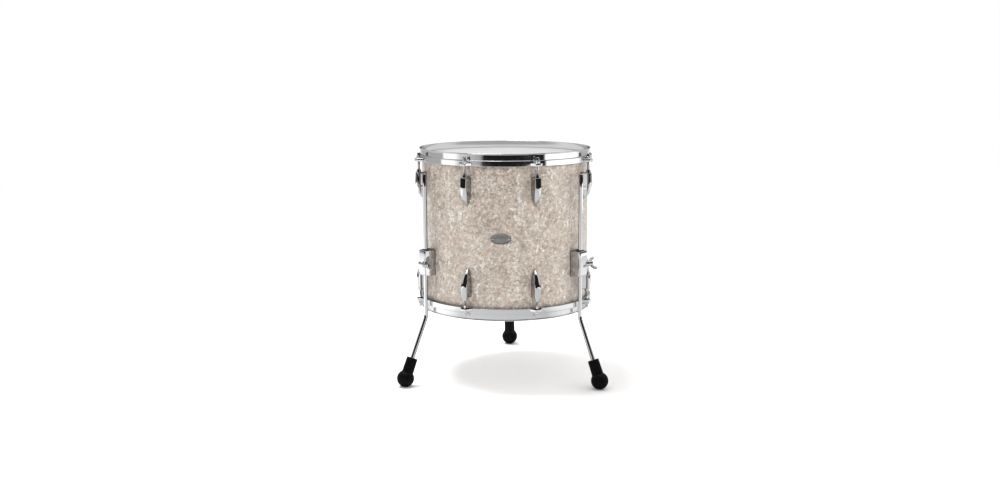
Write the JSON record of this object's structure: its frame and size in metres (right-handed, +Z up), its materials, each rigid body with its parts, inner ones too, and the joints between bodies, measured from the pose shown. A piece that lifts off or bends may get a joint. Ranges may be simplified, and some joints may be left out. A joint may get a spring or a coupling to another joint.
{
  "type": "floor tom drum",
  "caption": "Floor tom drum on bent rod legs with ball feet, with tensioned heads, pressed hoops, teardrop lugs and wing-screw leg clamps.",
  "frame": {"origin": "centre of the footprint's bounding box, at floor level; the drum's own axis stands 43 mm in front of it, at y = -0.043 m", "axes": "+Z up along the drum's axis out of the batter head, -Y to the front where the badge is, +X to the right seen from the front"},
  "size_m": [0.5068, 0.5104, 0.5654],
  "materials": {
    "wood_shell": "clear-lacquered beech plies",
    "pearlescent_wrap": "high-gloss cream mother-of-pearl effect with short curved flakes",
    "bright_chrome": "bright mirror chrome plating",
    "satin_badge": "satin plated badge with a raised plain rim",
    "coated_film": "sprayed white rough coating on polyester film",
    "hazy_film": "thin smooth hazy polyester film",
    "aluminium_hoop": "plain drawn aluminium channel",
    "black_gasket": "matt black gasket sheet",
    "brass_nut": "machined brass",
    "white_nylon": "natural nylon",
    "black_nylon": "black moulded nylon",
    "zinc_steel": "zinc-plated steel",
    "black_rubber": "moulded black rubber with a fine satin grain"
  },
  "bodies": {
    "drum_body": {"shell": "wood_shell", "shell_wrap": "pearlescent_wrap", "badge_plate": "satin_badge", "badge_pins": "bright_chrome", "air_vent_grommet": "bright_chrome", "batter_lugs": "bright_chrome", "resonant_lugs": "bright_chrome", "lug_gaskets": "black_gasket", "swivel_nuts": "brass_nut", "nut_retainers": "white_nylon", "lug_screws": "zinc_steel", "lug_screw_washers": "zinc_steel", "leg_bracket_left": "bright_chrome", "leg_bracket_right": "bright_chrome", "leg_bracket_rear": "bright_chrome", "bracket_gaskets": "black_gasket", "bracket_backing_plates": "zinc_steel", "bracket_screws": "zinc_steel", "bracket_screw_washers": "zinc_steel"},
    "batter_head": {"batter_hoop": "bright_chrome", "batter_head_film": "coated_film", "batter_flesh_hoop": "aluminium_hoop", "batter_rod_washers": "bright_chrome", "batter_nylon_washers": "black_nylon"},
    "resonant_head": {"resonant_hoop": "bright_chrome", "resonant_head_film": "hazy_film", "resonant_flesh_hoop": "aluminium_hoop", "resonant_rod_washers": "bright_chrome", "resonant_nylon_washers": "black_nylon"},
    "batter_rod_1": {"batter_tension_rod_1": "bright_chrome"},
    "resonant_rod_1": {"resonant_tension_rod_1": "bright_chrome"},
    "batter_rod_2": {"batter_tension_rod_2": "bright_chrome"},
    "resonant_rod_2": {"resonant_tension_rod_2": "bright_chrome"},
    "batter_rod_3": {"batter_tension_rod_3": "bright_chrome"},
    "resonant_rod_3": {"resonant_tension_rod_3": "bright_chrome"},
    "batter_rod_4": {"batter_tension_rod_4": "bright_chrome"},
    "resonant_rod_4": {"resonant_tension_rod_4": "bright_chrome"},
    "batter_rod_5": {"batter_tension_rod_5": "bright_chrome"},
    "resonant_rod_5": {"resonant_tension_rod_5": "bright_chrome"},
    "batter_rod_6": {"batter_tension_rod_6": "bright_chrome"},
    "resonant_rod_6": {"resonant_tension_rod_6": "bright_chrome"},
    "batter_rod_7": {"batter_tension_rod_7": "bright_chrome"},
    "resonant_rod_7": {"resonant_tension_rod_7": "bright_chrome"},
    "batter_rod_8": {"batter_tension_rod_8": "bright_chrome"},
    "resonant_rod_8": {"resonant_tension_rod_8": "bright_chrome"},
    "leg_bush_left": {"leg_bush_left": "black_nylon"},
    "leg_left": {"leg_rod_left": "bright_chrome", "rubber_foot_left": "black_rubber"},
    "clamp_pad_left": {"clamp_pad_left": "brass_nut"},
    "wing_screw_left": {"wing_screw_left": "bright_chrome"},
    "leg_bush_right": {"leg_bush_right": "black_nylon"},
    "leg_right": {"leg_rod_right": "bright_chrome", "rubber_foot_right": "black_rubber"},
    "clamp_pad_right": {"clamp_pad_right": "brass_nut"},
    "wing_screw_right": {"wing_screw_right": "bright_chrome"},
    "leg_bush_rear": {"leg_bush_rear": "black_nylon"},
    "leg_rear": {"leg_rod_rear": "bright_chrome", "rubber_foot_rear": "black_rubber"},
    "clamp_pad_rear": {"clamp_pad_rear": "brass_nut"},
    "wing_screw_rear": {"wing_screw_rear": "bright_chrome"}
  },
  "joints": [
    {"name": "batter_tuning", "type": "slide", "parent": "drum_body", "child": "batter_head", "axis": [0, 0, 1], "range_m": [0, 0.003]},
    {"name": "resonant_tuning", "type": "slide", "parent": "drum_body", "child": "resonant_head", "axis": [0, 0, -1], "range_m": [0, 0.003]},
    {"name": "batter_rod_1_turn", "type": "hinge", "parent": "batter_head", "child": "batter_rod_1", "pos_m": [0.08365, -0.24496, 0.5504], "axis": [0, 0, 1], "range_deg": [0, 1080]},
    {"name": "resonant_rod_1_turn", "type": "hinge", "parent": "resonant_head", "child": "resonant_rod_1", "pos_m": [0.08365, -0.24496, 0.1912], "axis": [0, 0, -1], "range_deg": [0, 1080]},
    {"name": "batter_rod_2_turn", "type": "hinge", "parent": "batter_head", "child": "batter_rod_2", "pos_m": [0.20196, -0.12665, 0.5504], "axis": [0, 0, 1], "range_deg": [0, 1080]},
    {"name": "resonant_rod_2_turn", "type": "hinge", "parent": "resonant_head", "child": "resonant_rod_2", "pos_m": [0.20196, -0.12665, 0.1912], "axis": [0, 0, -1], "range_deg": [0, 1080]},
    {"name": "batter_rod_3_turn", "type": "hinge", "parent": "batter_head", "child": "batter_rod_3", "pos_m": [0.20196, 0.04065, 0.5504], "axis": [0, 0, 1], "range_deg": [0, 1080]},
    {"name": "resonant_rod_3_turn", "type": "hinge", "parent": "resonant_head", "child": "resonant_rod_3", "pos_m": [0.20196, 0.04065, 0.1912], "axis": [0, 0, -1], "range_deg": [0, 1080]},
    {"name": "batter_rod_4_turn", "type": "hinge", "parent": "batter_head", "child": "batter_rod_4", "pos_m": [0.08365, 0.15896, 0.5504], "axis": [0, 0, 1], "range_deg": [0, 1080]},
    {"name": "resonant_rod_4_turn", "type": "hinge", "parent": "resonant_head", "child": "resonant_rod_4", "pos_m": [0.08365, 0.15896, 0.1912], "axis": [0, 0, -1], "range_deg": [0, 1080]},
    {"name": "batter_rod_5_turn", "type": "hinge", "parent": "batter_head", "child": "batter_rod_5", "pos_m": [-0.08365, 0.15896, 0.5504], "axis": [0, 0, 1], "range_deg": [0, 1080]},
    {"name": "resonant_rod_5_turn", "type": "hinge", "parent": "resonant_head", "child": "resonant_rod_5", "pos_m": [-0.08365, 0.15896, 0.1912], "axis": [0, 0, -1], "range_deg": [0, 1080]},
    {"name": "batter_rod_6_turn", "type": "hinge", "parent": "batter_head", "child": "batter_rod_6", "pos_m": [-0.20196, 0.04065, 0.5504], "axis": [0, 0, 1], "range_deg": [0, 1080]},
    {"name": "resonant_rod_6_turn", "type": "hinge", "parent": "resonant_head", "child": "resonant_rod_6", "pos_m": [-0.20196, 0.04065, 0.1912], "axis": [0, 0, -1], "range_deg": [0, 1080]},
    {"name": "batter_rod_7_turn", "type": "hinge", "parent": "batter_head", "child": "batter_rod_7", "pos_m": [-0.20196, -0.12665, 0.5504], "axis": [0, 0, 1], "range_deg": [0, 1080]},
    {"name": "resonant_rod_7_turn", "type": "hinge", "parent": "resonant_head", "child": "resonant_rod_7", "pos_m": [-0.20196, -0.12665, 0.1912], "axis": [0, 0, -1], "range_deg": [0, 1080]},
    {"name": "batter_rod_8_turn", "type": "hinge", "parent": "batter_head", "child": "batter_rod_8", "pos_m": [-0.08365, -0.24496, 0.5504], "axis": [0, 0, 1], "range_deg": [0, 1080]},
    {"name": "resonant_rod_8_turn", "type": "hinge", "parent": "resonant_head", "child": "resonant_rod_8", "pos_m": [-0.08365, -0.24496, 0.1912], "axis": [0, 0, -1], "range_deg": [0, 1080]},
    {"name": "leg_left_swivel", "type": "hinge", "parent": "drum_body", "child": "leg_bush_left", "pos_m": [-0.18409, -0.16255, 0.2985], "axis": [0, 0, 1], "range_deg": [-180, 180]},
    {"name": "leg_left_height", "type": "slide", "parent": "leg_bush_left", "child": "leg_left", "axis": [0, 0, 1], "range_m": [-0.15, 0.005]},
    {"name": "clamp_pad_left_slide", "type": "slide", "parent": "drum_body", "child": "clamp_pad_left", "axis": [0.0175, -0.9998, 0], "range_m": [0, 0.0025]},
    {"name": "wing_screw_left_turn", "type": "hinge", "parent": "clamp_pad_left", "child": "wing_screw_left", "pos_m": [-0.18374, -0.18255, 0.297], "axis": [0.0175, -0.9998, 0], "range_deg": [0, 720]},
    {"name": "leg_right_swivel", "type": "hinge", "parent": "drum_body", "child": "leg_bush_right", "pos_m": [0.18409, -0.16255, 0.2985], "axis": [0, 0, 1], "range_deg": [-180, 180]},
    {"name": "leg_right_height", "type": "slide", "parent": "leg_bush_right", "child": "leg_right", "axis": [0, 0, 1], "range_m": [-0.15, 0.005]},
    {"name": "clamp_pad_right_slide", "type": "slide", "parent": "drum_body", "child": "clamp_pad_right", "axis": [0.9063, 0.4226, 0], "range_m": [0, 0.0025]},
    {"name": "wing_screw_right_turn", "type": "hinge", "parent": "clamp_pad_right", "child": "wing_screw_right", "pos_m": [0.20221, -0.1541, 0.297], "axis": [0.9063, 0.4226, 0], "range_deg": [0, 720]},
    {"name": "leg_rear_swivel", "type": "hinge", "parent": "drum_body", "child": "leg_bush_rear", "pos_m": [0, 0.1765, 0.2985], "axis": [0, 0, 1], "range_deg": [-180, 180]},
    {"name": "leg_rear_height", "type": "slide", "parent": "leg_bush_rear", "child": "leg_rear", "axis": [0, 0, 1], "range_m": [-0.15, 0.005]},
    {"name": "clamp_pad_rear_slide", "type": "slide", "parent": "drum_body", "child": "clamp_pad_rear", "axis": [-0.848, 0.5299, 0], "range_m": [0, 0.0025]},
    {"name": "wing_screw_rear_turn", "type": "hinge", "parent": "clamp_pad_rear", "child": "wing_screw_rear", "pos_m": [-0.01696, 0.1871, 0.297], "axis": [-0.848, 0.5299, 0], "range_deg": [0, 720]}
  ],
  "couplings": [
    {"joint": "batter_rod_1_turn", "follows": "batter_tuning", "rad_per_m": 6283.2},
    {"joint": "resonant_rod_1_turn", "follows": "resonant_tuning", "rad_per_m": 6283.2},
    {"joint": "batter_rod_2_turn", "follows": "batter_tuning", "rad_per_m": 6283.2},
    {"joint": "resonant_rod_2_turn", "follows": "resonant_tuning", "rad_per_m": 6283.2},
    {"joint": "batter_rod_3_turn", "follows": "batter_tuning", "rad_per_m": 6283.2},
    {"joint": "resonant_rod_3_turn", "follows": "resonant_tuning", "rad_per_m": 6283.2},
    {"joint": "batter_rod_4_turn", "follows": "batter_tuning", "rad_per_m": 6283.2},
    {"joint": "resonant_rod_4_turn", "follows": "resonant_tuning", "rad_per_m": 6283.2},
    {"joint": "batter_rod_5_turn", "follows": "batter_tuning", "rad_per_m": 6283.2},
    {"joint": "resonant_rod_5_turn", "follows": "resonant_tuning", "rad_per_m": 6283.2},
    {"joint": "batter_rod_6_turn", "follows": "batter_tuning", "rad_per_m": 6283.2},
    {"joint": "resonant_rod_6_turn", "follows": "resonant_tuning", "rad_per_m": 6283.2},
    {"joint": "batter_rod_7_turn", "follows": "batter_tuning", "rad_per_m": 6283.2},
    {"joint": "resonant_rod_7_turn", "follows": "resonant_tuning", "rad_per_m": 6283.2},
    {"joint": "batter_rod_8_turn", "follows": "batter_tuning", "rad_per_m": 6283.2},
    {"joint": "resonant_rod_8_turn", "follows": "resonant_tuning", "rad_per_m": 6283.2},
    {"joint": "wing_screw_left_turn", "follows": "clamp_pad_left_slide", "rad_per_m": 5026.5},
    {"joint": "wing_screw_right_turn", "follows": "clamp_pad_right_slide", "rad_per_m": 5026.5},
    {"joint": "wing_screw_rear_turn", "follows": "clamp_pad_rear_slide", "rad_per_m": 5026.5}
  ]
}
